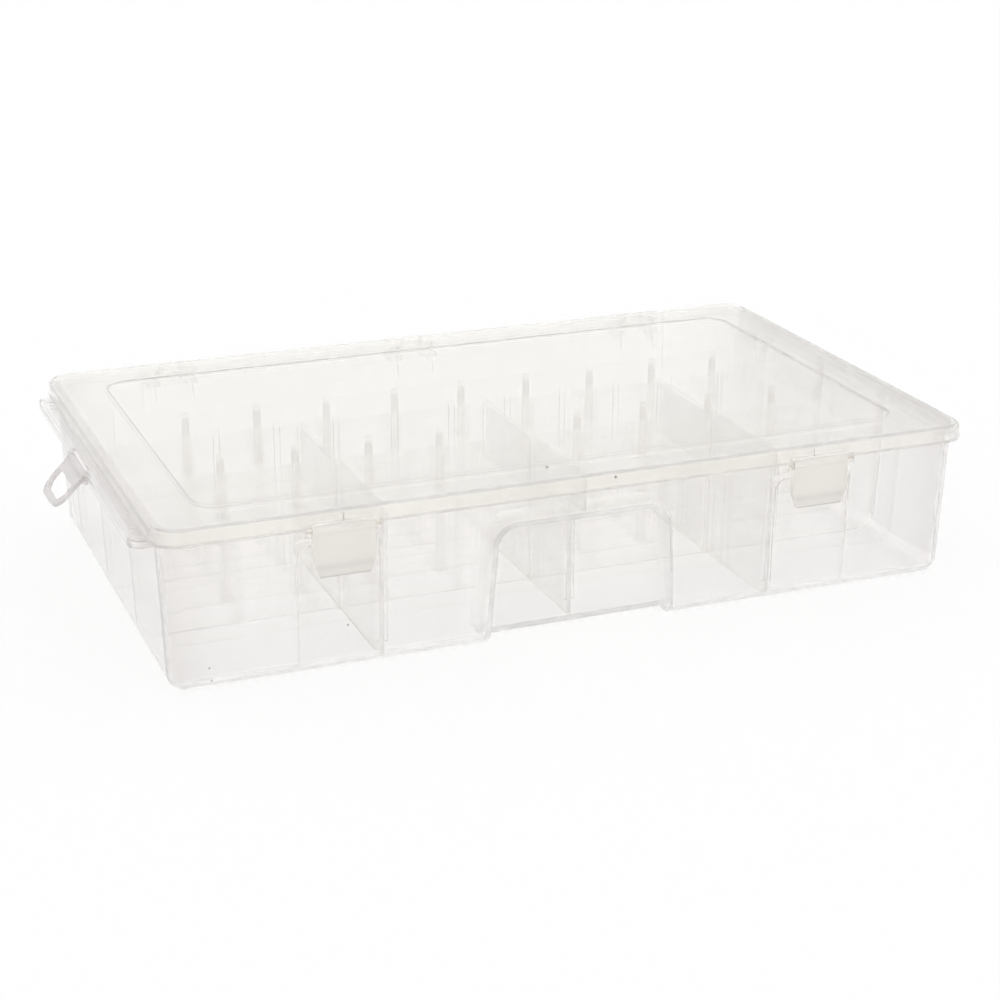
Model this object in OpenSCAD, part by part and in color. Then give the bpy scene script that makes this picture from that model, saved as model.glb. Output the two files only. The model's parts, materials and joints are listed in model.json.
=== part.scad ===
// Embroidery thread box: a shallow clear box with a hinged lid, partitions, cross dividers and
// upright pegs that carry thread spools. The origin is the centre of the underside, +X runs along
// the front, +Y to the hinges and +Z up.

/* [Lid] */
// Length of the lid along the front
lid_length = 400; // [300:1:520]
// Depth of the lid from front to back
lid_depth = 241; // [200:1:320]
// Overall height of the closed box
box_height = 79; // [60:1:110]
// Thickness of the lid plate and skirt
lid_wall = 1.8; // [1.2:0.1:2.6]
// Outer corner radius of the lid seen from above
lid_corner = 13; // [9:0.5:24]
// Depth of the skirt below the lid's top
skirt_depth = 7.7; // [6:0.1:12]
// Width of the raised border around the sunken panel
border_width = 25.5; // [14:0.5:40]
// How far the panel is sunk below the border
panel_sink = 0.7; // [0.3:0.1:1.5]
// Rounding of the lid's top edge
edge_round = 2.6; // [0.8:0.1:3]

/* [Tray] */
// Wall and floor thickness of the tray
wall = 2; // [1.4:0.1:3]
// How far the tray's rim stands inside the lid's outline at the front and rear
rim_inset = 4.5; // [3.8:0.1:8]
// The same at the two ends
end_inset = 3.4; // [3.2:0.1:8]
// How much each side leans in from rim to floor
draft = 2.5; // [0:0.1:4]
// Outer corner radius at the rim
tray_corner = 10.5; // [7:0.5:20]
// Radius between the walls and the floor
floor_radius = 8; // [3:0.5:8]
// Gap between the rim and the underside of the lid
rim_gap = 0.3; // [0.2:0.1:1]

/* [Hand grip] */
// Width of the hand grip at the underside
grip_width = 92; // [60:1:120]
// How much narrower the hand grip is at its roof
grip_taper = 7; // [0:0.5:14]
// Depth of the hand grip into the box
grip_depth = 16.5; // [10:0.5:22]
// Height of the hand grip's roof
grip_height = 57; // [35:1:62]
// Rounding of the hand grip's upper corners
grip_round = 9; // [3:0.5:14]

/* [Partitions] */
// Places of the long partitions, from front to back
partition_y = [-50, 11.5, 73];
// Thickness of a long partition
partition_wall = 1.8; // [1.2:0.1:2.6]
// Gap between the top of each long partition and the lid's panel
partition_gaps = [1.7, 4.2, 32];
// Width of the two tabs that stand up from the rear partition
tab_width = 13; // [8:0.5:30]
// Distance of each tab from the end wall
tab_inset = 5.5; // [3:0.5:30]
// Distance of the outer cross dividers from the middle
divider_pitch = 97; // [80:1:120]
// Thickness of a cross divider
divider_wall = 1.6; // [1:0.1:2.4]
// Number of upright ribs on the middle partition
rib_count = 10; // [4:1:12]
// Spacing of the upright ribs
rib_pitch = 30.2; // [24:0.2:32]
// How far the row of ribs stands to the left of the middle
rib_shift = 2; // [-4:0.1:4]
// Radius of an upright rib
rib_radius = 1.7; // [1:0.1:2.4]
// Clearance round a piece that drops into its guides
slot_gap = 0.3; // [0.2:0.05:0.6]

/* [Spool pegs] */
// Spacing of the pegs along a row
peg_pitch = 36.3; // [32:0.1:38]
// Pegs on each side of the middle in a row
pegs_each_side = 4; // [2:1:4]
// Gap between the peg tips and the lid's panel
peg_gap = 4.4; // [1:0.1:30]
// How far each row of pegs stands behind the middle between its partitions
peg_row_shift = [-3.2, 1.2];
// Radius of a peg at its tip
peg_tip_radius = 1.75; // [1.2:0.05:2.2]
// Radius of a peg where it leaves its socket
peg_foot_radius = 2.6; // [2.2:0.05:3.2]
// Height of a peg's socket above the floor
socket_height = 2; // [1.5:0.5:7]
// Wall of a peg's socket
socket_wall = 1.2; // [1:0.1:3]

/* [Hinges and latches] */
// Spacing of the three hinges
hinge_pitch = 134; // [100:1:150]
// Radius of a hinge knuckle
knuckle_radius = 3.4; // [2.8:0.1:4.2]
// Radius of a hinge pin
pin_radius = 1.5; // [1.1:0.05:1.8]
// Width of a hinge over all its knuckles
hinge_width = 27; // [20:1:36]
// Distance of each latch from the middle
latch_offset = 117; // [90:1:140]
// Width of a latch
latch_width = 28.4; // [22:0.2:36]
// Height of a latch below its axis
latch_drop = 21.5; // [18:0.5:26]
// Thickness of a latch plate
latch_wall = 1.8; // [1.4:0.1:2.2]
// Radius of a latch's trunnions
trunnion_radius = 1; // [0.8:0.05:1.2]
// Radial clearance of everything that turns
running_gap = 0.06; // [0.03:0.01:0.1]

/* [End ledges] */
// How far a ledge stands out from the lid's end
ledge_reach = 5.7; // [4:0.1:9]
// Distance of a ledge's front end from the tray's front
ledge_front_inset = 14; // [12:0.5:40]
// Distance of a ledge's rear end from the tray's rear
ledge_rear_inset = 7; // [5:0.5:40]
// Depth of the lip along a ledge
lip_depth = 4; // [3:0.1:6]
// Middle of the hanging loop along the left ledge
loop_middle = 9.5; // [-40:0.5:50]
// Width of the hanging loop
loop_width = 32; // [24:0.5:36]
// Length of the hanging loop
loop_length = 20.5; // [17:0.5:26]
// Width of the loop's strap
loop_strap = 2.5; // [1.8:0.1:3.2]
// How far the loop stands out from hanging straight down
loop_angle = 45; // [0:1:60]

/* [Hidden] */
$fn = 96;
eps = 0.01;
plastic = [0.95, 0.94, 0.91, 0.6];
insert_plastic = [0.93, 0.91, 0.88, 0.7];
latch_plastic = [0.90, 0.89, 0.87, 0.8];
pin_plastic = [0.88, 0.87, 0.85, 0.9];
arc_steps = 8;

// Tray walls, as distances out from the centres of the corner curves
rim_x = lid_length / 2 - end_inset;
rim_y = lid_depth / 2 - rim_inset;
half_x = rim_x - tray_corner;
half_y = rim_y - tray_corner;
foot_corner = tray_corner - draft;
floor_edge = min(floor_radius, foot_corner);
arc_centre = foot_corner - floor_edge;
rim_top = box_height - lid_wall - rim_gap;
function lean(z) = draft * (z - floor_edge) / (rim_top - floor_edge);
function outer_at(z) = foot_corner + lean(z);
function inner_at(z) = outer_at(z) - wall;
function arc(centre, radius, from, to) =
    [for (i = [0:arc_steps]) centre + radius * [cos(from + (to - from) * i / arc_steps),
                                                sin(from + (to - from) * i / arc_steps)]];
function outer_curve() = arc([arc_centre, floor_edge], floor_edge, -90, 0);
function inner_curve(gap) = arc([arc_centre - gap, floor_edge], floor_edge - wall, -90, 0);
function inner_edge(gap, top) = concat(inner_curve(gap), [[inner_at(top) - gap, top]]);

// Lid
skirt_bottom = box_height - skirt_depth;
lid_bead = 0.5;
bead_height = 1;
lid_half_x = lid_length / 2 - lid_corner;
lid_half_y = lid_depth / 2 - lid_corner;
skirt_radius = lid_corner - lid_bead;
panel_step = 1.4;
panel_corner = 12;

// Hinges
knuckle_gap = 0.5;
lid_knuckle = 12;
hinge_y = lid_depth / 2 + 0.3 + knuckle_radius;
hinge_z = skirt_bottom - 1.8;
hinge_places = [for (i = [-1:1]) i * hinge_pitch];
arm_wall = 2.6;
wing_x = hinge_pitch + hinge_width / 2 + 3;
wing_wall = 1.2;
wing_foot = 38;
wing_reach = 2;
wing_top_reach = 0.9;

// Latches
barrel_radius = 2;
ear_radius = 2.4;
ear_wall = 2.4;
ear_gap = 0.3;
latch_y = -lid_depth / 2 - 0.3;
latch_z = skirt_bottom - 0.3;
relief_height = 2.4;
latch_places = [-latch_offset, latch_offset];
latch_face = 1.6;
rim_reach = 1.9;
rim_wall = 1.6;
taper_start = 0.63 * latch_drop;
latch_taper = 2.8;
bar_height = 3.1;
catch_width = 16;
catch_height = 2.6;
catch_gap = 0.3;
catch_top = latch_z - latch_drop + bar_height + 0.9 + catch_height;

// Shallow panel behind each latch, with its own pad inside the wall
bay_width = latch_width + 10.2;
bay_top = skirt_bottom - 9.3;
bay_round = 5;
bay_face = half_y + foot_corner - 0.3;

// Ledges and the hanging loop
ledge_wall = 1.8;
ledge_top = skirt_bottom - 1.1;
ledge_edge = lid_length / 2 + ledge_reach;
ledge_front = ledge_front_inset - rim_y;
ledge_rear = rim_y - ledge_rear_inset;
lip_wall = 1.8;
ledge_round = 5.6;
gusset_wall = 1.2;
gusset_reach = 0.65;
gusset_pitch = 6;
loop_x = -ledge_edge + 0.5;
loop_z = ledge_top - 4;
loop_corner = 9;
loop_wall = 2;
loop_plate = 7;
loop_tip = 3.2;

// Partitions, dividers and pegs
guide_wall = 1.2;
guide_reach = 1.8;
panel_under = box_height - panel_sink - lid_wall;
partition_tops = [for (gap = partition_gaps) panel_under - gap];
peg_top = panel_under - peg_gap;
guide_step = 2;
tab_round = 4;
divider_top = partition_tops[0];
cross_top = min(partition_tops[0], partition_tops[1]);
front_line = partition_y[0];
middle_line = partition_y[1];
rear_line = partition_y[2];
divider_places = [for (i = [-1:1]) i * divider_pitch];
grip_back = grip_depth - rim_y;
front_pegs_y = (front_line + middle_line) / 2 + peg_row_shift[0];
rear_pegs_y = (middle_line + rear_line) / 2 + peg_row_shift[1];
peg_steps = [for (i = [-pegs_each_side:pegs_each_side]) i];
front_pegs = [for (i = peg_steps) if (i != 0) [i * peg_pitch, front_pegs_y]];
rear_pegs = [for (i = peg_steps) [i * peg_pitch, rear_pegs_y]];
peg_places = concat(front_pegs, rear_pegs);
socket_fit = 0.02;

function numbered(name, count) = [for (i = [1:count]) str(name, "_", i)];
peg_names = concat(numbered("front_peg", len(front_pegs)), numbered("rear_peg", len(rear_pegs)));
pin_names = numbered("hinge_pin", len(hinge_places));
latch_names = ["latch_left", "latch_right"];
front_divider_names = numbered("front_divider", len(divider_places));
middle_divider_names = numbered("middle_divider", len(divider_places));
partition_names = ["front_partition", "middle_partition", "rear_partition"];

// Carries a flat profile round a rectangle with round corners: x in the profile runs outwards
module carried(x, y) {
    for (a = [0:3]) {
        long = a % 2 == 0;
        rotate([0, 0, 90 * a])
            translate([long ? x : y, long ? y : x, 0])
                rotate([90, 0, 0]) linear_extrude(2 * (long ? y : x)) children();
        rotate([0, 0, 90 * a])
            translate([long ? x : y, long ? y : x, 0])
                rotate_extrude(angle = 90) children();
    }
}

// Flat plate with round corners
module plate(x, y, radius, bottom, top) {
    translate([0, 0, bottom]) {
        translate([radius - x, -y, 0]) cube([2 * (x - radius), 2 * y, top - bottom]);
        translate([-x, radius - y, 0]) cube([2 * x, 2 * (y - radius), top - bottom]);
        for (i = [-1, 1], j = [-1, 1])
            translate([i * (x - radius), j * (y - radius), 0]) cylinder(r = radius, h = top - bottom);
    }
}

// Lays a flat drawing of Y and Z at right angles to X, with its thickness about x
module across(x, thick) {
    translate([x - thick / 2, 0, 0]) rotate([90, 0, 90]) linear_extrude(thick) children();
}

// Lays a flat drawing of X and Z facing the front, with its thickness about y
module along(y, thick) {
    translate([0, y + thick / 2, 0]) rotate([90, 0, 0]) linear_extrude(thick) children();
}

// Round bar along X
module bar_x(x, y, z, radius, length) {
    translate([x - length / 2, y, z]) rotate([0, 90, 0]) cylinder(r = radius, h = length);
}

// Tray walls and floor, open at the top
module tray_shell() {
    carried(half_x, half_y)
        polygon(concat([[0, 0]], outer_curve(), [[outer_at(rim_top), rim_top]],
                       [for (i = [len(inner_edge(0, rim_top)) - 1:-1:0]) inner_edge(0, rim_top)[i]],
                       [[0, wall]]));
    translate([-half_x, -half_y, 0]) cube([2 * half_x, 2 * half_y, wall]);
}

// Everything inside the tray's outer faces
module tray_envelope() {
    carried(half_x, half_y)
        polygon(concat([[0, 0]], outer_curve(), [[outer_at(rim_top), rim_top], [0, rim_top]]));
    translate([-half_x, -half_y, 0]) cube([2 * half_x, 2 * half_y, rim_top]);
}

// Front view of the hand grip, grown by a wall for the moulding behind it
module grip_outline(grow) {
    foot = grip_width / 2 + grow;
    head = (grip_width - grip_taper) / 2 + grow;
    top = grip_height + grow;
    radius = grip_round + grow;
    polygon(concat([[foot, -1], [-foot, -1]], arc([radius - head, top - radius], radius, 180, 90),
                   arc([head - radius, top - radius], radius, 90, 0)));
}

module grip_block() {
    front = -rim_y - 2;
    intersection() {
        along((front + grip_back + wall) / 2, grip_back + wall - front) grip_outline(wall);
        tray_envelope();
    }
}

module grip_void() {
    front = -rim_y - 6;
    along((front + grip_back) / 2, grip_back - front) grip_outline(0);
}

// Front view of a latch bay, open at the foot
module bay_outline(grow) {
    side = bay_width / 2 + grow;
    top = bay_top + grow;
    polygon(concat([[side, -1], [-side, -1]], arc([bay_round - side, top - bay_round], bay_round, 180, 90),
                   arc([side - bay_round, top - bay_round], bay_round, 90, 0)));
}

module bay_pads() {
    for (x = latch_places)
        intersection() {
            translate([x, 0, 0]) along(-bay_face + wall / 2 - 1, wall + 2) bay_outline(wall);
            tray_envelope();
        }
}

module bay_cuts() {
    for (x = latch_places) translate([x, 0, 0]) along(-bay_face - 5, 10) bay_outline(0);
}

// What a piece inside the front wall keeps clear of behind the latch bays
module pad_spaces() {
    reach = 10;
    for (x = latch_places)
        translate([x, 0, 0])
            along(-bay_face + wall + slot_gap - reach, 2 * reach) bay_outline(wall + slot_gap);
}

// Tooth that the latch's bar closes under
module catches() {
    reach = -latch_y - rim_reach - catch_gap;
    for (x = latch_places)
        across(x, catch_width)
            polygon([[-bay_face + 1, catch_top + 1.2], [-bay_face + 1, catch_top - catch_height - 0.6],
                     [-bay_face, catch_top - catch_height], [-reach, catch_top - catch_height],
                     [-reach, catch_top - 1], [-bay_face, catch_top + 1.2]]);
}

// Two knuckles and their arms behind the tray for each hinge
module tray_knuckles() {
    width = (hinge_width - lid_knuckle) / 2 - knuckle_gap;
    arm_top = hinge_z - knuckle_radius + arm_wall;
    for (x = hinge_places, side = [-1, 1]) {
        middle = x + side * (hinge_width - width) / 2;
        bar_x(middle, hinge_y, hinge_z, knuckle_radius, width);
        across(middle, width)
            polygon([[rim_y - wall, arm_top], [rim_y - wall, arm_top - arm_wall],
                     [hinge_y, hinge_z - knuckle_radius], [hinge_y, arm_top]]);
        across(middle, width / 3)
            polygon([[rim_y - wall, arm_top], [rim_y - wall, arm_top - 12], [rim_y - 0.5, arm_top - 12],
                     [hinge_y, hinge_z - knuckle_radius + 0.4], [hinge_y, arm_top]]);
    }
}

// Upright ribs on the outside of the rear wall, beside the outer hinges
module hinge_wings() {
    knee_z = skirt_bottom - 9;
    head_z = rim_top - 1;
    foot = half_y + outer_at(wing_foot);
    knee = half_y + outer_at(knee_z);
    head = half_y + outer_at(head_z);
    for (side = [-1, 1])
        across(side * wing_x, wing_wall)
            polygon([[foot - wall / 2, wing_foot], [foot + 0.3, wing_foot], [knee + wing_reach, knee_z],
                     [head + wing_top_reach, head_z], [head - wall / 2, head_z]]);
}

// Ledge with a turned-down lip along one end, on small gussets near its corners
module ledge(side) {
    mid = (ledge_front + ledge_rear) / 2;
    half = (ledge_rear - ledge_front) / 2;
    wall_x = half_x + inner_at(ledge_top - lip_depth) + 0.8;
    lip_bottom = ledge_top - lip_depth;
    wall_z = lip_bottom - 2.5;
    gusset_edge = wall_x + gusset_reach * (ledge_edge - wall_x);
    places = concat([for (i = [0:2]) ledge_front + ledge_round + i * gusset_pitch],
                    [for (i = [0:2]) ledge_rear - ledge_round - i * gusset_pitch]);
    translate([0, mid, 0])
        intersection() {
            difference() {
                plate(ledge_edge, half, ledge_round, lip_bottom, ledge_top);
                plate(ledge_edge - lip_wall, half - lip_wall, ledge_round - lip_wall,
                      lip_bottom - 1, ledge_top - ledge_wall);
            }
            translate([side > 0 ? wall_x : -ledge_edge - 1, -half - 1, 0])
                cube([ledge_edge + 1 - wall_x, 2 * half + 2, box_height]);
        }
    for (y = places)
        along(y, gusset_wall)
            polygon([[side * wall_x, ledge_top - eps], [side * wall_x, wall_z],
                     [side * gusset_edge, ledge_top - ledge_wall - 0.4], [side * gusset_edge, ledge_top - eps]]);
}

// Clears the ledge for the loop's barrel
module loop_relief() {
    width = loop_width + 2 * ear_gap;
    translate([loop_x - 6, loop_middle - width / 2, loop_z - 8])
        cube([6 + barrel_radius + ear_gap, width, 16]);
}

module loop_ears() {
    for (side = [-1, 1])
        translate([loop_x, loop_middle + side * (loop_width / 2 + ear_gap + ear_wall / 2), loop_z])
            rotate([90, 0, 0]) cylinder(r = ear_radius, h = ear_wall, center = true);
}

module loop_bores() {
    translate([loop_x, loop_middle, loop_z]) rotate([90, 0, 0])
        cylinder(r = trunnion_radius + running_gap, h = loop_width + 2 * (ear_wall + ear_gap) + 2, center = true);
}

// Pairs of upright ribs inside the end walls, which hold the long partitions
module partition_guides() {
    foot = floor_edge + 2;
    for (i = [0:2], side = [-1, 1], face = [-1, 1]) {
        head = partition_tops[i] - guide_step;
        along(partition_y[i] + face * (partition_wall / 2 + slot_gap + guide_wall / 2), guide_wall)
            polygon([[side * (half_x + inner_at(foot) - guide_reach), foot],
                     [side * (half_x + inner_at(foot) + wall / 2), foot],
                     [side * (half_x + inner_at(head) + wall / 2), head],
                     [side * (half_x + inner_at(head) - guide_reach), head]]);
    }
}

// The same for the front dividers: on the front wall, or behind the hand grip in the middle
module divider_guides() {
    foot = floor_edge + 2;
    head = divider_top - guide_step;
    for (x = divider_places, face = [-1, 1]) {
        place = x + face * (divider_wall / 2 + slot_gap + guide_wall / 2);
        across(place, guide_wall)
            if (x == 0)
                polygon([[grip_back + wall / 2, foot], [grip_back + wall + guide_reach, foot],
                         [grip_back + wall + guide_reach, grip_height], [grip_back + wall / 2, grip_height]]);
            else
                polygon([[-half_y - inner_at(foot) + guide_reach, foot],
                         [-half_y - inner_at(foot) - wall / 2, foot],
                         [-half_y - inner_at(head) - wall / 2, head],
                         [-half_y - inner_at(head) + guide_reach, head]]);
    }
}

module sockets() {
    for (place = peg_places)
        translate([place[0], place[1], wall / 2])
            cylinder(r = peg_foot_radius + socket_wall, h = wall / 2 + socket_height);
}

module socket_bores() {
    for (place = peg_places)
        translate([place[0], place[1], wall])
            cylinder(r = peg_foot_radius + socket_fit, h = socket_height + 1);
}

// Fine upright grooves on the outside of the end walls, level with the partitions
module end_grooves() {
    depth = 0.4;
    head = ledge_top - lip_depth - 3;
    for (y = partition_y, side = [-1, 1])
        along(y, 1)
            polygon([[side * (half_x + foot_corner - depth), -1], [side * (half_x + foot_corner + 2), -1],
                     [side * (half_x + outer_at(head) + 2), head],
                     [side * (half_x + outer_at(head) - depth), head],
                     [side * (half_x + foot_corner - depth), floor_edge]]);
}

module tray() {
    color(plastic)
        difference() {
            union() {
                difference() {
                    union() {
                        tray_shell();
                        grip_block();
                        bay_pads();
                        for (side = [-1, 1]) ledge(side);
                    }
                    grip_void();
                    bay_cuts();
                    end_grooves();
                    loop_relief();
                }
                catches();
                tray_knuckles();
                hinge_wings();
                loop_ears();
                partition_guides();
                divider_guides();
                sockets();
            }
            socket_bores();
            loop_bores();
            for (x = hinge_places)
                bar_x(x, hinge_y, hinge_z, pin_radius + socket_fit, hinge_width + 2);
        }
}

// Skirt and rounded top edge of the lid, carried round its outline
module lid_edge() {
    inner_round = max(edge_round - lid_wall, 0.3);
    inner_centre = [skirt_radius - lid_wall - inner_round, box_height - lid_wall - inner_round];
    carried(lid_half_x, lid_half_y)
        polygon(concat([[lid_corner, skirt_bottom], [lid_corner, skirt_bottom + bead_height],
                        [skirt_radius, skirt_bottom + bead_height + lid_bead]],
                       arc([skirt_radius - edge_round, box_height - edge_round], edge_round, 0, 90),
                       [[0, box_height], [0, box_height - lid_wall]],
                       arc(inner_centre, inner_round, 90, 0),
                       [[skirt_radius - lid_wall, skirt_bottom]]));
}

// Raised border and sunken panel
module lid_plate() {
    x = lid_length / 2 - border_width;
    y = lid_depth / 2 - border_width;
    difference() {
        translate([-lid_half_x, -lid_half_y, box_height - lid_wall])
            cube([2 * lid_half_x, 2 * lid_half_y, lid_wall]);
        plate(x, y, panel_corner, box_height - 2 * lid_wall, box_height + 1);
    }
    plate(x + panel_step, y + panel_step, panel_corner + panel_step,
          box_height - panel_sink - lid_wall, box_height - panel_sink);
}

// Knuckle in the middle of each hinge, with the arm and ribs that carry it
module lid_knuckles() {
    back = lid_depth / 2 - lid_bead - lid_wall / 2;
    for (x = hinge_places) {
        bar_x(x, hinge_y, hinge_z, knuckle_radius, lid_knuckle);
        across(x, lid_knuckle)
            polygon([[back, skirt_bottom + 0.1], [back, skirt_bottom + 1.8], [hinge_y, hinge_z + knuckle_radius],
                     [hinge_y, skirt_bottom + 0.1]]);
        for (side = [-1, 1])
            across(x + side * (lid_knuckle / 2 - 0.8), 1.6)
                polygon([[back, skirt_bottom + 0.1], [back, box_height - edge_round],
                         [back + lid_wall / 2 + 0.4, box_height - edge_round],
                         [hinge_y + 1, hinge_z + knuckle_radius - 0.4], [hinge_y, skirt_bottom + 0.1]]);
    }
}

module latch_reliefs() {
    width = latch_width + 2 * ear_gap;
    for (x = latch_places)
        translate([x - width / 2, latch_y - 5, skirt_bottom - 1])
            cube([width, 5 + barrel_radius + ear_gap + 2, 1 + relief_height]);
}

module latch_ears() {
    for (x = latch_places, side = [-1, 1])
        bar_x(x + side * (latch_width / 2 + ear_gap + ear_wall / 2), latch_y, latch_z, ear_radius, ear_wall);
}

module lid() {
    color(plastic)
        difference() {
            union() {
                difference() {
                    union() {
                        lid_edge();
                        lid_plate();
                    }
                    latch_reliefs();
                }
                lid_knuckles();
                latch_ears();
            }
            for (x = hinge_places)
                bar_x(x, hinge_y, hinge_z, pin_radius + running_gap, lid_knuckle + 2);
            for (x = latch_places)
                bar_x(x, latch_y, latch_z, trunnion_radius + running_gap,
                      latch_width + 2 * (ear_wall + ear_gap) + 2);
        }
}

module hinge_pin(x) {
    color(pin_plastic) bar_x(x, hinge_y, hinge_z, pin_radius, hinge_width);
}

// Barrel and trunnions of a latch or loop, along X through the origin
module trunnions(width) {
    bar_x(0, 0, 0, barrel_radius, width);
    bar_x(0, 0, 0, trunnion_radius, width + 2 * (ear_gap + ear_wall) - 0.4);
}

// Front view of a latch hanging from its axis
module latch_outline(shrink) {
    side = latch_width / 2 - shrink;
    polygon([[-side, 0], [side, 0], [side, -taper_start], [side - latch_taper, -latch_drop + shrink],
             [latch_taper - side, -latch_drop + shrink], [-side, -taper_start]]);
}

// Latch plate with side rims and a thick bar at its foot
module latch() {
    bar_top = -latch_drop + bar_height;
    trunnions(latch_width);
    along((latch_wall - 2 * latch_face) / 2, latch_wall) latch_outline(0);
    along((rim_reach - latch_face) / 2, rim_reach + latch_face)
        difference() {
            latch_outline(0);
            intersection() {
                latch_outline(rim_wall);
                translate([-latch_width, bar_top]) square([2 * latch_width, latch_drop]);
            }
            translate([-latch_width, -barrel_radius]) square([2 * latch_width, latch_drop]);
        }
}

module placed_latch(x) {
    color(latch_plastic) translate([x, latch_y, latch_z]) latch();
}

// Drawing with its top edge on the X axis and two round corners at its foot
module round_tab(half, top, foot, radius) {
    intersection() {
        union() {
            translate([-half, radius - foot]) square([2 * half, top + foot - radius]);
            translate([radius - half, -foot]) square([2 * (half - radius), radius + eps]);
            for (side = [-1, 1])
                translate([side * (half - radius), radius - foot]) circle(r = radius);
        }
        translate([-half, -foot]) square([2 * half, top + foot]);
    }
}

// Loop that hangs from the left ledge: a plate with a round-cornered opening
module end_loop() {
    half = loop_width / 2;
    inner_corner = loop_corner - loop_strap;
    color(latch_plastic)
        translate([loop_x, loop_middle, loop_z]) rotate([0, loop_angle, 0]) rotate([0, 0, -90]) {
            trunnions(loop_width);
            along(-loop_wall / 2 + 0.4, loop_wall)
                difference() {
                    round_tab(half, 0, loop_length, loop_corner);
                    round_tab(half - loop_strap, -loop_plate, loop_length - loop_tip, inner_corner);
                }
        }
}

// Side view of the pieces that stand between the end walls, seen from the front
module partition_outline(top) {
    edge = inner_edge(slot_gap, top);
    last = len(edge) - 1;
    polygon(concat([for (i = [0:last]) [half_x + edge[i][0], edge[i][1]]],
                   [for (i = [last:-1:0]) [-half_x - edge[i][0], edge[i][1]]]));
}

// Two tabs above the low rear partition, to lift it out by
module lift_tabs(y) {
    tab_top = partition_tops[1];
    foot = partition_tops[2] - tab_round;
    middle = half_x + inner_at(foot) - slot_gap - tab_inset - tab_width / 2;
    for (side = [-1, 1])
        along(y, partition_wall)
            translate([side * middle, 0]) rotate([0, 0, 180]) round_tab(tab_width / 2, -foot, tab_top, tab_round);
}

// Guide ribs for the cross dividers on one face of a partition
module face_guides(y, face) {
    for (x = divider_places, side = [-1, 1])
        translate([x + side * (divider_wall / 2 + slot_gap + guide_wall / 2) - guide_wall / 2,
                   face > 0 ? y : y - partition_wall / 2 - guide_reach, wall])
            cube([guide_wall, partition_wall / 2 + guide_reach, cross_top - guide_step - wall]);
}

module partition(index) {
    y = partition_y[index];
    color(insert_plastic) {
        along(y, partition_wall) partition_outline(partition_tops[index]);
        if (index < 2) face_guides(y, -1);
        if (index == 0) face_guides(y, 1);
        if (index == 2) lift_tabs(y);
        if (index == 1)
            for (i = [0:rib_count - 1])
                translate([(i - (rib_count - 1) / 2) * rib_pitch - rib_shift, y + partition_wall / 2, wall])
                    cylinder(r = rib_radius, h = partition_tops[index] - wall - 0.6);
    }
}

// Cross divider from the front wall to the front partition; the middle one steps over the grip
module front_divider(x) {
    edge = inner_edge(slot_gap, divider_top);
    last = len(edge) - 1;
    back = front_line - partition_wall / 2 - slot_gap;
    roof = grip_height + wall + slot_gap;
    grip_edge = grip_back + wall + slot_gap;
    wall_edge = [for (i = [last:-1:0]) [-half_y - edge[i][0], edge[i][1]]];
    step_edge = [[-half_y - edge[last][0], divider_top],
                 [-half_y - inner_at(roof) + slot_gap, roof], [grip_edge, roof], [grip_edge, wall]];
    color(insert_plastic)
        difference() {
            across(x, divider_wall)
                polygon(concat([[back, wall], [back, divider_top]], x == 0 ? step_edge : wall_edge));
            pad_spaces();
        }
}

// Cross divider between the front and middle partitions
module middle_divider(x) {
    front = front_line + partition_wall / 2 + slot_gap;
    back = middle_line - partition_wall / 2 - slot_gap;
    color(insert_plastic)
        across(x, divider_wall) translate([front, wall]) square([back - front, cross_top - wall]);
}

// Tapered peg with a round tip, turned about its own axis
module spool_peg(place) {
    shoulder = wall + socket_height;
    color(insert_plastic)
        translate([place[0], place[1], 0])
            rotate_extrude()
                polygon(concat([[0, wall], [peg_foot_radius, wall], [peg_foot_radius, shoulder]],
                               arc([0, peg_top - peg_tip_radius], peg_tip_radius, 0, 90)));
}

tray();
lid();
for (i = [0:len(pin_names) - 1]) hinge_pin(hinge_places[i]);
for (i = [0:1]) placed_latch(latch_places[i]);
end_loop();
for (i = [0:2]) partition(i);
for (i = [0:2]) front_divider(divider_places[i]);
for (i = [0:2]) middle_divider(divider_places[i]);
for (i = [0:len(peg_names) - 1]) spool_peg(peg_places[i]);
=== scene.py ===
"""Finishes, small moulding marks and studio of a clear embroidery thread box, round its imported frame."""

import json
import logging
import math
from dataclasses import dataclass
from enum import Enum

import bpy
import numpy as np
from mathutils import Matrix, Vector


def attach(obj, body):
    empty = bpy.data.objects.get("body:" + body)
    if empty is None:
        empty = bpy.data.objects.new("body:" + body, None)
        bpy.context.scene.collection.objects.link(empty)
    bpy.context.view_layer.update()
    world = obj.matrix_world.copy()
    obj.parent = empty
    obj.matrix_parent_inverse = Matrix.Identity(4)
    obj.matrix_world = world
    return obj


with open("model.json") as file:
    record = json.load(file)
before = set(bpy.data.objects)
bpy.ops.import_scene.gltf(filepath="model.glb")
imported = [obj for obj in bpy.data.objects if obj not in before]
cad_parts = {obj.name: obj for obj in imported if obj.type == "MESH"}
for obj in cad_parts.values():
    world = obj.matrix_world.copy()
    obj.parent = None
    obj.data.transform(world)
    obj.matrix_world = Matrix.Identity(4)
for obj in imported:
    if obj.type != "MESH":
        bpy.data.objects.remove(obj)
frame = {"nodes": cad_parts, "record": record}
log = logging.getLogger("thread_box")
Colour = tuple[float, float, float]
Place = tuple[float, float, float]
Span = tuple[float, float]
Socket = bpy.types.NodeSocket
MM = 0.001
WHITE = (1.0, 1.0, 1.0)

# Sockets of the Mix node for colours: share, first and second colour, and the mix.
MIX_INPUTS = (0, 6, 7)
MIX_RESULT = 2

# Lines that look for a surface start this far in front of the origin or above it.
# They run to the rear or down.
FRONT_START = -0.3
TOP_START = 0.2
TO_REAR = (0, 1, 0)
DOWN = (0, 0, -1)


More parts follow.
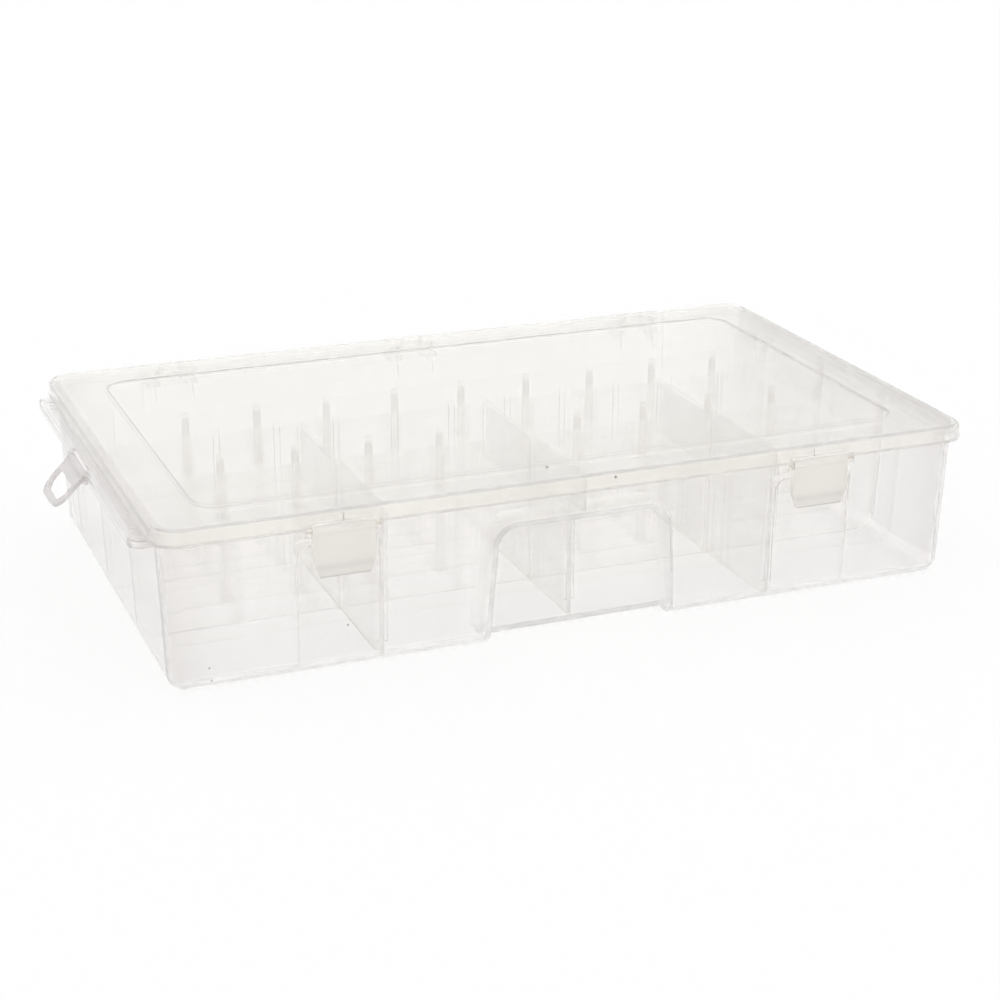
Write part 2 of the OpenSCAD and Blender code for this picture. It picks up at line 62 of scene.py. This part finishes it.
class Slot(Enum):
    """Material slots of the record."""

    TRAY = "tray"
    LID = "lid"
    PARTITIONS = "partitions"
    DIVIDERS = "dividers"
    PEGS = "pegs"
    LATCHES = "latches"
    LOOP = "loop"
    PINS = "pins"


class Body(Enum):
    """Bodies of the frame that carry pieces made here."""

    TRAY = "tray"
    LID = "lid"


class Graph:
    """Node tree of one material or world, filled a node at a time."""

    def __init__(self, owner: bpy.types.Material | bpy.types.World, output: str = "OutputMaterial") -> None:
        """Empties the owner's tree and gives it its output.

        Args:
            owner: the material or world whose tree is filled.
            output: the output node's type without the word ShaderNode.
        """
        owner.use_nodes = True
        self.tree = owner.node_tree
        self.tree.nodes.clear()
        self.output = self.add(output)

    def add(self, kind: str, **settings: object) -> bpy.types.Node:
        """Adds a node.

        Args:
            kind: the node's type without the word ShaderNode.
            settings: attributes of the node, set as given.

        Returns:
            The new node.
        """
        node = self.tree.nodes.new("ShaderNode" + kind)
        for name, value in settings.items():
            setattr(node, name, value)
        return node

    def feed(self, socket: Socket, value: object) -> None:
        """Gives a socket a link from another socket, or a plain value.

        Args:
            socket: the input that is fed.
            value: an output socket, a number or a colour.
        """
        if isinstance(value, bpy.types.NodeSocket):
            self.tree.links.new(value, socket)
        else:
            socket.default_value = value

    def math(self, operation: str, *values: object) -> Socket:
        """Takes one arithmetic step.

        Args:
            operation: the step, in the words of the Math node.
            values: sockets or numbers.

        Returns:
            The socket with the result.
        """
        node = self.add("Math", operation=operation)
        for socket, value in zip(node.inputs, values):
            self.feed(socket, value)
        return node.outputs[0]

    def spread(self, value: object, low: float, high: float, start: float, end: float) -> Socket:
        """Maps the range from low to high smoothly onto start to end, held at both ends.

        Args:
            value: what is mapped.
            low: lower end of its range.
            high: upper end of its range.
            start: result at and below low.
            end: result at and above high.

        Returns:
            The socket with the result.
        """
        node = self.add("MapRange", interpolation_type="SMOOTHSTEP")
        for socket, given in zip(node.inputs, (value, low, high, start, end)):
            self.feed(socket, given)
        return node.outputs[0]

    def noise(self, place: object, scale: float, detail: float, roughness: float = 0.5) -> Socket:
        """Makes cloudy noise between 0 and 1.

        Args:
            place: socket with the coordinates.
            scale: features in a metre.
            detail: octaves of finer noise.
            roughness: strength of the finer octaves.

        Returns:
            The socket with the noise.
        """
        node = self.add("TexNoise", noise_dimensions="3D")
        given = {"Vector": place, "Scale": scale, "Detail": detail, "Roughness": roughness}
        for name, value in given.items():
            self.feed(node.inputs[name], value)
        return node.outputs["Fac"]

    def stretched(self, place: object, scale: Place) -> Socket:
        """Stretches coordinates.

        Args:
            place: socket with the coordinates.
            scale: factor along each axis.

        Returns:
            The socket with the stretched coordinates.
        """
        node = self.add("Mapping")
        self.feed(node.inputs["Vector"], place)
        node.inputs["Scale"].default_value = scale
        return node.outputs[0]

    def blend(self, share: object, first: object, second: object) -> Socket:
        """Mixes two colours.

        Args:
            share: share of the second colour.
            first: socket or colour at share 0.
            second: socket or colour at share 1.

        Returns:
            The socket with the mix.
        """
        node = self.add("Mix", data_type="RGBA")
        for index, value in zip(MIX_INPUTS, (share, first, second)):
            self.feed(node.inputs[index], value)
        return node.outputs[MIX_RESULT]


def opaque(colour: Colour) -> tuple[float, float, float, float]:
    """Returns a colour with the full alpha that a colour socket wants."""
    return (*colour, 1.0)


@dataclass(frozen=True)
class OutlineShade:
    """Painted shade along a rectangle with round corners, drawn in the plane of two axes and alike on both
    sides.
    """

    colour: Colour
    axes: tuple[str, str]
    middle: Span
    half: Span
    corner: float
    reach: float
    front: float = 1.0

    def share(self, graph: Graph, axes: bpy.types.Node) -> Socket:
        """Adds the share of the painted shade.

        The distance from the outline is the root of the summed squares of how far a point lies past the end
        of each straight side, less the corner's radius.

        Args:
            graph: the tree that is filled.
            axes: node with the point's three coordinates.

        Returns:
            The socket with 1 on the outline, falling to 0 at the reach, and 0 behind the front limit.
        """
        squares = []
        for axis, middle, half in zip(self.axes, self.middle, self.half):
            offset = graph.math("SUBTRACT", graph.math("ABSOLUTE", axes.outputs[axis]), middle)
            past = graph.math("SUBTRACT", graph.math("ABSOLUTE", offset), half - self.corner)
            past = graph.math("MAXIMUM", past, 0.0)
            squares.append(graph.math("MULTIPLY", past, past))
        distance = graph.math("SUBTRACT", graph.math("SQRT", graph.math("ADD", *squares)), self.corner)
        share = graph.spread(graph.math("ABSOLUTE", distance), 0.0, self.reach, 1.0, 0.0)
        return graph.math("MULTIPLY", share, graph.math("LESS_THAN", axes.outputs["Y"], self.front))


@dataclass(frozen=True)
class LevelShade:
    """Painted shade in a level band, or painted light where its colour is pale."""

    colour: Colour
    height: float
    reach: float

    def share(self, graph: Graph, axes: bpy.types.Node) -> Socket:
        """Adds the share of the painted band.

        Args:
            graph: the tree that is filled.
            axes: node with the point's three coordinates.

        Returns:
            The socket with 1 at the height, falling to 0 at the reach above and below it.
        """
        distance = graph.math("ABSOLUTE", graph.math("SUBTRACT", axes.outputs["Z"], self.height))
        return graph.spread(distance, 0.0, self.reach, 1.0, 0.0)


@dataclass(frozen=True)
class ClearPlastic:
    """Clear natural polypropylene, cream towards the top of the box and pinkish grey towards its foot, with
    painted shade towards its two ends.
    """

    name: str
    warm: Colour = (0.998, 0.993, 0.980)
    cool: Colour = (0.999, 0.993, 0.990)
    # Painted shade towards both ends of the box.
    end_shade: Colour = (0.895, 0.877, 0.870)
    shades: tuple[OutlineShade | LevelShade, ...] = ()
    transmission: float = 0.92
    haze: float = 0.70
    roughness: float = 0.03
    ior: float = 1.25
    ripple: float = 0.0005
    cream_height: Span = (0.030, 0.070)
    # Where the painted shade towards the ends starts and is full.
    end_shade_reach: Span = (0.165, 0.203)
    cloud_scale: float = 12.0
    cloud_detail: float = 3.0
    cloud_range: Span = (0.35, 0.65)
    cloud_drift: Span = (-0.25, 0.25)
    streak_scale: float = 60.0
    streak_detail: float = 4.0
    streak_fineness: float = 0.6
    streak_stretch: Place = (0.35, 1.0, 3.0)
    streak_range: Span = (0.3, 0.7)
    streak_gloss: Span = (0.7, 1.3)
    dent_scale: float = 700.0
    dent_detail: float = 2.0
    dent_depth: float = 0.4 * MM

    def tint(self, graph: Graph, place: Socket) -> Socket:
        """Adds the colour of the plastic.

        Args:
            graph: the tree that is filled.
            place: socket with the point in the frame at rest.

        Returns:
            The socket with the colour. It turns from cool to warm up the box, drifts in soft clouds, and
            takes painted shade towards the two ends, and the shades' painted shade and light along the
            edges.
        """
        axes = graph.add("SeparateXYZ")
        graph.feed(axes.inputs[0], place)
        clouds = graph.noise(place, self.cloud_scale, self.cloud_detail)
        clouds = graph.spread(clouds, *self.cloud_range, *self.cloud_drift)
        height = graph.spread(axes.outputs["Z"], *self.cream_height, 0.0, 1.0)
        cream = graph.math("ADD", height, clouds)
        cream = graph.math("MINIMUM", graph.math("MAXIMUM", cream, 0.0), 1.0)
        tint = graph.blend(cream, opaque(self.cool), opaque(self.warm))
        # Painted shade towards both ends of the box.
        end = graph.spread(graph.math("ABSOLUTE", axes.outputs["X"]), *self.end_shade_reach, 0.0, 1.0)
        tint = graph.blend(end, tint, opaque(self.end_shade))
        # Painted shade along edges, and painted light at the foot of the inner pieces.
        for shade in self.shades:
            tint = graph.blend(shade.share(graph, axes), tint, opaque(shade.colour))
        return tint

    def material(self) -> bpy.types.Material:
        """Builds the material.

        Returns:
            A clear material whose gloss varies in fine flow streaks.
        """
        material = bpy.data.materials.new(self.name)
        graph = Graph(material)
        place = graph.add("TexCoord").outputs["Object"]
        stretched = graph.stretched(place, self.streak_stretch)
        streaks = graph.noise(stretched, self.streak_scale, self.streak_detail, self.streak_fineness)
        dents = graph.add("Bump")
        dents.inputs["Strength"].default_value = self.ripple
        dents.inputs["Distance"].default_value = self.dent_depth
        graph.feed(dents.inputs["Height"], graph.noise(place, self.dent_scale, self.dent_detail))
        plastic = graph.add("BsdfPrincipled")
        graph.feed(plastic.inputs["Base Color"], self.tint(graph, place))
        smooth, dull = (self.roughness * share for share in self.streak_gloss)
        graph.feed(plastic.inputs["Roughness"], graph.spread(streaks, *self.streak_range, smooth, dull))
        graph.feed(plastic.inputs["Normal"], dents.outputs[0])
        plastic.inputs["Transmission Weight"].default_value = self.transmission
        plastic.inputs["Alpha"].default_value = self.haze
        plastic.inputs["IOR"].default_value = self.ior
        graph.feed(graph.output.inputs["Surface"], plastic.outputs[0])
        return material


@dataclass(frozen=True)
class Grain:
    """Dull dark grain of plastic, as scorched in the mould."""

    name: str
    colour: Colour = (0.16, 0.14, 0.13)
    pale: Colour = (0.30, 0.27, 0.25)
    roughness: float = 0.45
    fleck_scale: float = 4000.0
    fleck_detail: float = 2.0

    def material(self) -> bpy.types.Material:
        """Builds the material.

        Returns:
            An opaque material with a fine fleck in its colour.
        """
        material = bpy.data.materials.new(self.name)
        graph = Graph(material)
        place = graph.add("TexCoord").outputs["Object"]
        fleck = graph.noise(place, self.fleck_scale, self.fleck_detail)
        plastic = graph.add("BsdfPrincipled")
        graph.feed(plastic.inputs["Base Color"], graph.blend(fleck, opaque(self.colour), opaque(self.pale)))
        plastic.inputs["Roughness"].default_value = self.roughness
        graph.feed(graph.output.inputs["Surface"], plastic.outputs[0])
        return material


def dress(node: str, material: bpy.types.Material) -> None:
    """Gives a node of the frame its finish.

    Args:
        node: name of the node.
        material: what it is finished with.
    """
    mesh = frame["nodes"][node].data
    mesh.materials.clear()
    mesh.materials.append(material)


def seat_on(node: str, start: Place, direction: Place) -> tuple[np.ndarray, np.ndarray]:
    """Finds where a straight line first meets a node's surface.

    Args:
        node: name of the node.
        start: where the line starts, outside the node.
        direction: which way it runs.

    Returns:
        The point on the surface and the surface's outward direction there.

    Raises:
        ValueError: if the line misses the node.
    """
    met, point, normal, _ = frame["nodes"][node].ray_cast(Vector(start), Vector(direction))
    if not met:
        raise ValueError(f"nothing of {node} on the line from {start}")
    return np.array(point), np.array(normal)


@dataclass(frozen=True)
class Mark:
    """Small closed mound of plastic that stands on a surface."""

    name: str
    start: Place
    direction: Place
    half_width: float
    half_length: float
    rise: float
    sunk: float = 0.05 * MM
    sides: int = 24
    rings: int = 7
    level_normal: float = 0.9

    def build(self, node: str, body: Body, slot: Slot, material: bpy.types.Material) -> None:
        """Builds the mound.

        A point of the crown at share u of the way out and at angle a lies at u times the half width times
        the cosine of a along one tangent, and at u times the half length times the sine of a along the
        other. It stands above the seat by the rise times the square of one less u squared. A flat base
        closes the mound below the seat.

        Args:
            node: the node that it stands on.
            body: the body that carries it.
            slot: the material slot that it belongs to; not used.
            material: its finish.
        """
        seat, normal = seat_on(node, self.start, self.direction)
        on_level = abs(normal[2]) > self.level_normal
        across = np.array((1.0, 0.0, 0.0)) if on_level else np.cross((0.0, 0.0, 1.0), normal)
        across /= np.linalg.norm(across)
        along = np.cross(normal, across)
        angles = np.linspace(0.0, 2.0 * np.pi, self.sides, endpoint=False)[:, None]
        circle = self.half_width * np.cos(angles) * across + self.half_length * np.sin(angles) * along
        shares = np.linspace(0.0, 1.0, self.rings + 1)[1:]
        heights = np.append(self.rise * (1.0 - shares ** 2) ** 2, -self.sunk)
        shares = np.append(shares, 1.0)
        rings = shares[:, None, None] * circle + heights[:, None, None] * normal
        points = np.vstack([self.rise * normal, rings.reshape(-1, 3), -self.sunk * normal]) + seat
        column = np.arange(self.sides)
        after = (column + 1) % self.sides
        row = np.arange(self.rings)[:, None] * self.sides + 1
        below = row + self.sides
        quads = np.stack([row + column, below + column, below + after, row + after], -1).reshape(-1, 4)
        last = len(points) - 1
        rim = last - self.sides
        crown = np.stack([np.zeros_like(column), 1 + column, 1 + after], -1)
        base = np.stack([np.full_like(column, last), rim + after, rim + column], -1)
        mesh = bpy.data.meshes.new(self.name)
        mesh.from_pydata(points.tolist(), [], quads.tolist() + crown.tolist() + base.tolist())
        mesh.polygons.foreach_set("use_smooth", np.ones(len(mesh.polygons), bool))
        mesh.materials.append(material)
        mound = bpy.data.objects.new(self.name, mesh)
        bpy.context.scene.collection.objects.link(mound)
        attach(mound, body.value)
        log.info("%s stands on %s", self.name, node)


@dataclass
class Part:
    """Pieces of the box that share one slot and one finish."""

    slot: Slot
    finish: ClearPlastic

    def nodes(self) -> list[str]:
        """Returns the names of the frame's nodes in this part's slot."""
        subparts = frame["record"]["subparts"]
        return [piece["node"] for piece in subparts if piece["material_slot"] == self.slot.value]

    def build(self) -> None:
        """Finishes every node of the part."""
        material = self.finish.material()
        for node in self.nodes():
            dress(node, material)
            log.info("%s has its %s", node, material.name)


@dataclass
class Tray(Part):
    """Tray, with the small grains that its mould left in the front wall, placed by x and z."""

    grain_places: tuple[Span, ...] = ((-0.1768, 0.0114), (-0.1758, 0.0050), (-0.1135, 0.0215))
    grain_size: float = 0.45 * MM
    grain_rise: float = 0.12 * MM

    def build(self) -> None:
        """Finishes the tray and sets the grains on its front wall."""
        super().build()
        scorched = Grain("tray_grain").material()
        for count, (x, z) in enumerate(self.grain_places, 1):
            grain = Mark(f"front_grain_{count}", (x, FRONT_START, z), TO_REAR,
                         self.grain_size, self.grain_size, self.grain_rise)
            grain.build("tray", Body.TRAY, Slot.TRAY, scorched)


@dataclass
class Lid(Part):
    """Lid, with a fine upright tick over each latch, a grain on its border and one on the crease below."""

    tick_places: tuple[float, ...] = (-0.1166, 0.1142)
    tick_height: float = 0.0754
    tick_half_width: float = 0.22 * MM
    tick_half_length: float = 2.3 * MM
    tick_rise: float = 0.10 * MM
    tick_colour: Colour = (0.42, 0.38, 0.35)
    tick_pale: Colour = (0.55, 0.51, 0.48)
    border_grain: Place = (-0.0142, -0.1024, TOP_START)
    crease_grain: Place = (0.012, FRONT_START, 0.0768)
    grain_width: float = 0.6 * MM
    grain_length: float = 1.2 * MM
    grain_rise: float = 0.30 * MM

    def build(self) -> None:
        """Finishes the lid and sets its ticks and grains."""
        super().build()
        faint = Grain("tick_grain", colour=self.tick_colour, pale=self.tick_pale).material()
        for count, x in enumerate(self.tick_places, 1):
            tick = Mark(f"skirt_tick_{count}", (x, FRONT_START, self.tick_height), TO_REAR,
                        self.tick_half_width, self.tick_half_length, self.tick_rise)
            tick.build("lid", Body.LID, Slot.LID, faint)
        scorched = Grain("lid_grain").material()
        on_border = Mark("border_grain", self.border_grain, DOWN,
                         self.grain_width, self.grain_length, self.grain_rise)
        on_crease = Mark("crease_grain", self.crease_grain, TO_REAR,
                         self.grain_width, self.grain_width, self.grain_rise)
        for grain in (on_border, on_crease):
            grain.build("lid", Body.LID, Slot.LID, scorched)


@dataclass
class Studio:
    """Floor, even white light and camera."""

    camera_place: Place = (-0.37483, -0.93564, 0.40474)
    camera_turn: Place = (69.379, -0.280, -21.960)
    lens_mm: float = 76.68
    sensor_mm: float = 36.0
    floor_size: float = 6.0
    floor_drop: float = 0.2 * MM
    floor_shade: float = 0.99
    floor_white: float = 0.7
    light_strength: float = 1.0

    def build_floor(self) -> None:
        """Lays a flat white floor under the box, which keeps the box's soft shadow.

        What is seen of the floor, straight or through the plastic, is part plain white and part lit floor.
        The light that the floor throws back on the box comes from the lit floor alone.
        """
        half = self.floor_size / 2
        corners = [(-half, -half, 0), (half, -half, 0), (half, half, 0), (-half, half, 0)]
        mesh = bpy.data.meshes.new("floor")
        mesh.from_pydata(corners, [], [(0, 1, 2, 3)])
        floor = bpy.data.objects.new("floor", mesh)
        bpy.context.scene.collection.objects.link(floor)
        material = bpy.data.materials.new("floor_white")
        graph = Graph(material)
        path = graph.add("LightPath").outputs
        seen = graph.math("MAXIMUM", path["Is Camera Ray"], path["Is Glossy Ray"])
        seen = graph.math("MAXIMUM", seen, path["Is Transmission Ray"])
        lit = graph.add("BsdfDiffuse")
        lit.inputs["Color"].default_value = opaque((self.floor_shade,) * 3)
        white = graph.add("Emission")
        white.inputs["Color"].default_value = opaque(WHITE)
        share = graph.math("MULTIPLY", seen, self.floor_white)
        mix = graph.add("MixShader")
        for socket, value in zip(mix.inputs, (share, lit.outputs[0], white.outputs[0])):
            graph.feed(socket, value)
        graph.feed(graph.output.inputs["Surface"], mix.outputs[0])
        mesh.materials.append(material)
        floor.location.z = -self.floor_drop

    def build_sky(self) -> None:
        """Surrounds the box with even white light and a white backdrop."""
        world = bpy.data.worlds.new("white_room")
        bpy.context.scene.world = world
        graph = Graph(world, "OutputWorld")
        light = graph.add("Background")
        light.inputs["Color"].default_value = opaque(WHITE)
        light.inputs["Strength"].default_value = self.light_strength
        graph.feed(graph.output.inputs["Surface"], light.outputs[0])

    def build_camera(self) -> None:
        """Sets the camera at the photograph's viewing angle."""
        lens = bpy.data.cameras.new("camera")
        lens.lens = self.lens_mm
        lens.sensor_width = self.sensor_mm
        camera = bpy.data.objects.new("camera", lens)
        camera.location = self.camera_place
        camera.rotation_euler = tuple(math.radians(angle) for angle in self.camera_turn)
        bpy.context.scene.collection.objects.link(camera)
        bpy.context.scene.camera = camera

    def set_paths(self) -> None:
        """Lets light pass through the many clear walls without loss."""
        scene = bpy.context.scene
        scene.view_settings.view_transform = "Standard"
        cycles = scene.cycles
        cycles.blur_glossy = 0.0
        cycles.transparent_max_bounces = 40
        cycles.max_bounces = 48
        cycles.transmission_bounces = 48
        cycles.glossy_bounces = 32
        cycles.diffuse_bounces = 12

    def build(self) -> None:
        """Builds everything that is not the box."""
        self.build_camera()
        self.build_floor()
        self.build_sky()
        self.set_paths()


# Painted shade along the moulded edges, and painted light along the foot of the inner pieces.
PAINTED_SHADE_DARK = (0.55, 0.52, 0.51)
PAINTED_SHADE_SOFT = (0.90, 0.88, 0.87)
PAINTED_SHADE_LIP = (0.83, 0.81, 0.79)
PAINTED_SHADE_LIP_EDGE = (0.66, 0.63, 0.61)
PAINTED_LIGHT_CREAM = (0.990, 0.972, 0.900)

# Where they run: round the latch bays, round the lid's panel and along the foot of its skirt, across the
# lip of each latch and along its lower edge, and along the foot of the partitions and dividers.
# Painted shade round each latch bay on the front of the tray.
BAY_LINE = OutlineShade(colour=PAINTED_SHADE_SOFT, axes=("X", "Z"), middle=(117 * MM, 20 * MM),
                        half=(19.3 * MM, 42 * MM), corner=5 * MM, reach=0.7 * MM, front=-108 * MM)
# Painted shade round the lid's panel and along the foot of its skirt.
PANEL_LINE = OutlineShade(colour=PAINTED_SHADE_DARK, axes=("X", "Y"), middle=(0.0, 0.0), half=(174.7 * MM, 95.2 * MM),
                          corner=12 * MM, reach=0.62 * MM)
SKIRT_LINE = LevelShade(colour=PAINTED_SHADE_DARK, height=71.4 * MM, reach=0.5 * MM)
# Painted shade across the lip of each latch and along its lower edge.
LIP_BAND = LevelShade(colour=PAINTED_SHADE_LIP, height=54.2 * MM, reach=2.6 * MM)
LIP_LINE = LevelShade(colour=PAINTED_SHADE_LIP_EDGE, height=49.8 * MM, reach=0.6 * MM)
# Painted light along the foot of the partitions and dividers.
FOOT_BAND = LevelShade(colour=PAINTED_LIGHT_CREAM, height=4.0 * MM, reach=2.5 * MM)

# The pegs, latches and loop are deeper in tint and less clear than the walls.
TRAY_FINISH = ClearPlastic("tray_plastic", shades=(BAY_LINE,))
LID_FINISH = ClearPlastic("lid_plastic", warm=(0.985, 0.970, 0.932), cool=(0.985, 0.971, 0.938),
                          end_shade=(0.972, 0.953, 0.922), shades=(PANEL_LINE, SKIRT_LINE),
                          transmission=0.88, haze=0.60, ior=1.23)
INNER_FINISH = ClearPlastic("inner_plastic", end_shade=(0.990, 0.982, 0.975), shades=(FOOT_BAND,),
                            haze=0.54, ior=1.19)
PEG_FINISH = ClearPlastic("peg_plastic", warm=(0.820, 0.795, 0.765), cool=(0.820, 0.797, 0.775),
                          end_shade=(0.820, 0.795, 0.770), transmission=0.60, haze=0.55, ior=1.16)
LATCH_FINISH = ClearPlastic("latch_plastic", warm=(0.912, 0.892, 0.862), cool=(0.912, 0.894, 0.870),
                            end_shade=(0.905, 0.885, 0.858), shades=(LIP_BAND, LIP_LINE),
                            transmission=0.55, haze=0.90, ior=1.26, roughness=0.08)
LOOP_FINISH = ClearPlastic("loop_plastic", warm=(0.810, 0.780, 0.780), cool=(0.810, 0.780, 0.780),
                           end_shade=(0.810, 0.780, 0.780), transmission=0.60, haze=0.92, ior=1.42)
PIN_FINISH = ClearPlastic("pin_plastic", haze=0.60, ior=1.28)


def main() -> None:
    """Builds the studio, then finishes every part of the box."""
    logging.basicConfig(level=logging.INFO, format="%(name)s: %(message)s")
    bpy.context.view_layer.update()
    Studio().build()
    parts = (Tray(Slot.TRAY, TRAY_FINISH), Lid(Slot.LID, LID_FINISH), Part(Slot.PARTITIONS, INNER_FINISH),
             Part(Slot.DIVIDERS, INNER_FINISH), Part(Slot.PEGS, PEG_FINISH),
             Part(Slot.LATCHES, LATCH_FINISH), Part(Slot.LOOP, LOOP_FINISH), Part(Slot.PINS, PIN_FINISH))
    for part in parts:
        part.build()


if __name__ == "__main__":
    main()
